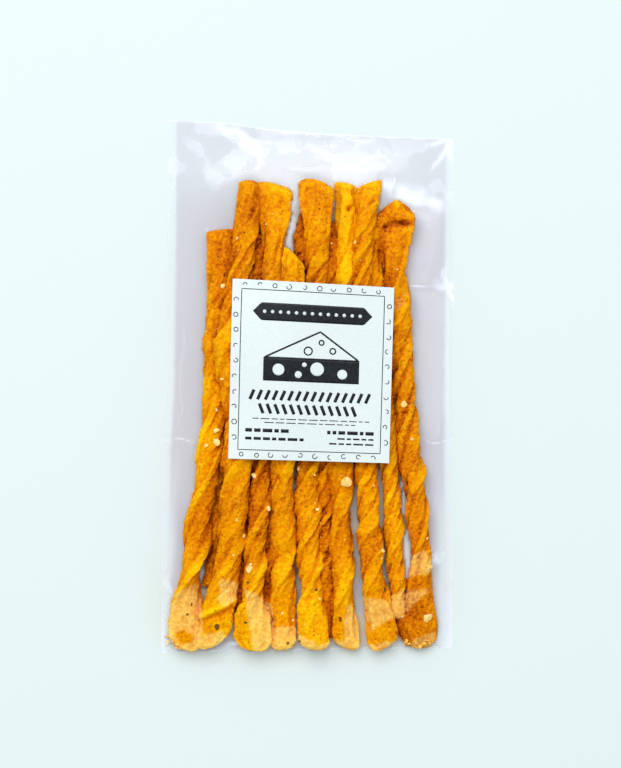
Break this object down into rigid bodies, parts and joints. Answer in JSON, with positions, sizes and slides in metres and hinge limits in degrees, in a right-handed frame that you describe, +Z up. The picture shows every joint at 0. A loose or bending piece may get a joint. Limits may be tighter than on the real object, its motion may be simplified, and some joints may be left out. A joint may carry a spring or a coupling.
{
  "type": "bag of cheese twists",
  "caption": "Clear sealed film bag lying on its back, filled with long baked cheese twists side by side, with a plain white paper label stuck on the front.",
  "frame": {"origin": "on the table, under the middle of the bag's box, with the bag lying on its back", "axes": "+Z up, out of the face with the label; +Y along the bag towards its empty top end; +X towards its right-hand edge as seen from above"},
  "size_m": [0.1268, 0.231, 0.022],
  "materials": {
    "film": "clear glossy plastic film with soft wrinkles",
    "paper": null,
    "twist": "matt baked dough, finely grained, with crumbs of cheese"
  },
  "bodies": {
    "root": {"bag": "film", "label": "paper"}
  },
  "joints": []
}
